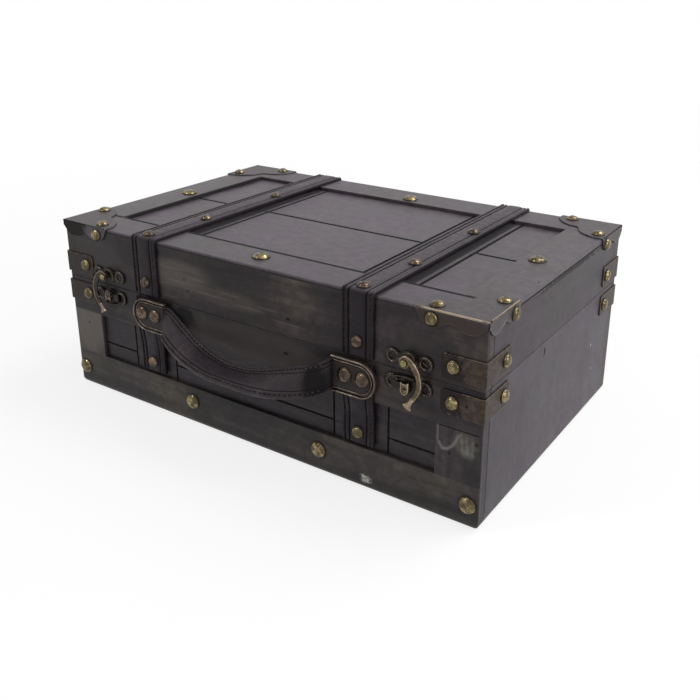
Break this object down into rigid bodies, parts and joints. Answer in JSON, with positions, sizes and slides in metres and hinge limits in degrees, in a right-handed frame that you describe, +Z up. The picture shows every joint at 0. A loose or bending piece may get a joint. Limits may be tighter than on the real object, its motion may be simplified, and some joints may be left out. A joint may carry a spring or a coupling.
{
  "type": "strapped keepsake box",
  "caption": "Flat-topped wooden keepsake box like a small old suitcase, with leather straps and handle, metal corners, dome tacks, a hinged lid and horn-hook latches.",
  "frame": {"origin": "middle of the flat underside of the wooden body", "axes": "+Z up, -Y out of the front with its handle and latches, +X along the box to the right"},
  "size_m": [0.3064, 0.2206, 0.1194],
  "materials": {
    "painted_wood": "worn satin paint over brown wood",
    "side_wood": "worn satin paint with upright grain",
    "dark_leather": "grained, stitched along both edges",
    "bronze_sheet": "dark bronze with bright worn edges",
    "antique_brass": "antique brass, dark in the hollows",
    "tack_brass": "worn antique brass domes"
  },
  "bodies": {
    "base": {"base_back_board": "painted_wood", "base_back_straps": "dark_leather", "base_bracket_back_left": "bronze_sheet", "base_bracket_back_right": "bronze_sheet", "base_bracket_front_left": "bronze_sheet", "base_bracket_front_right": "bronze_sheet", "base_corner_tacks": "tack_brass", "base_floor": "painted_wood", "base_front_board": "painted_wood", "base_left_board": "side_wood", "base_right_board": "side_wood", "base_strap_left": "dark_leather", "base_strap_right": "dark_leather", "base_strap_tacks": "tack_brass", "bottom_rail_tacks": "tack_brass", "front_bottom_rail": "painted_wood", "front_left_stile": "painted_wood", "front_right_stile": "painted_wood", "front_top_rail": "painted_wood", "handle_plate_left": "antique_brass", "handle_plate_right": "antique_brass", "handle_rivets": "tack_brass", "handle_tabs": "dark_leather", "hinge_base_leaves": "antique_brass", "hinge_base_screws": "antique_brass", "hinge_pins": "antique_brass", "latch_catch_left": "antique_brass", "latch_catch_right": "antique_brass", "latch_catch_screws": "antique_brass"},
    "lid": {"corner_cap_back_left": "bronze_sheet", "corner_cap_back_right": "bronze_sheet", "corner_cap_front_left": "bronze_sheet", "corner_cap_front_right": "bronze_sheet", "hinge_lid_leaves": "antique_brass", "hinge_lid_screws": "antique_brass", "latch_pivots": "tack_brass", "latch_plate_left": "antique_brass", "latch_plate_right": "antique_brass", "latch_plate_screws": "antique_brass", "lid_back_board": "painted_wood", "lid_bracket_back_left": "bronze_sheet", "lid_bracket_back_right": "bronze_sheet", "lid_bracket_front_left": "bronze_sheet", "lid_bracket_front_right": "bronze_sheet", "lid_corner_tacks": "tack_brass", "lid_front_board": "painted_wood", "lid_left_board": "side_wood", "lid_right_board": "side_wood", "lid_strap_left": "dark_leather", "lid_strap_right": "dark_leather", "lid_strap_tacks": "tack_brass", "lid_top_board": "painted_wood", "top_back_rail": "painted_wood", "top_frame_tacks": "tack_brass", "top_front_rail": "painted_wood", "top_left_stile": "painted_wood", "top_right_stile": "painted_wood"},
    "hook_right": {"latch_hook_right": "antique_brass"},
    "hook_left": {"latch_hook_left": "antique_brass"},
    "handle": {"handle_strap": "dark_leather"}
  },
  "joints": [
    {"name": "lid_hinge", "type": "hinge", "parent": "base", "child": "lid", "pos_m": [0, 0.09715, 0.0785], "axis": [-1, 0, 0], "range_deg": [0, 105]},
    {"name": "right_hook_swing", "type": "hinge", "parent": "lid", "child": "hook_right", "pos_m": [0.1078, -0.0998, 0.0854], "axis": [0, -1, 0], "range_deg": [0, 110]},
    {"name": "left_hook_swing", "type": "hinge", "parent": "lid", "child": "hook_left", "pos_m": [-0.112, -0.0998, 0.0854], "axis": [0, 1, 0], "range_deg": [0, 110]},
    {"name": "handle_lift", "type": "hinge", "parent": "base", "child": "handle", "pos_m": [0.0011, -0.0978, 0.0768], "axis": [-1, 0, 0], "range_deg": [0, 80]}
  ]
}
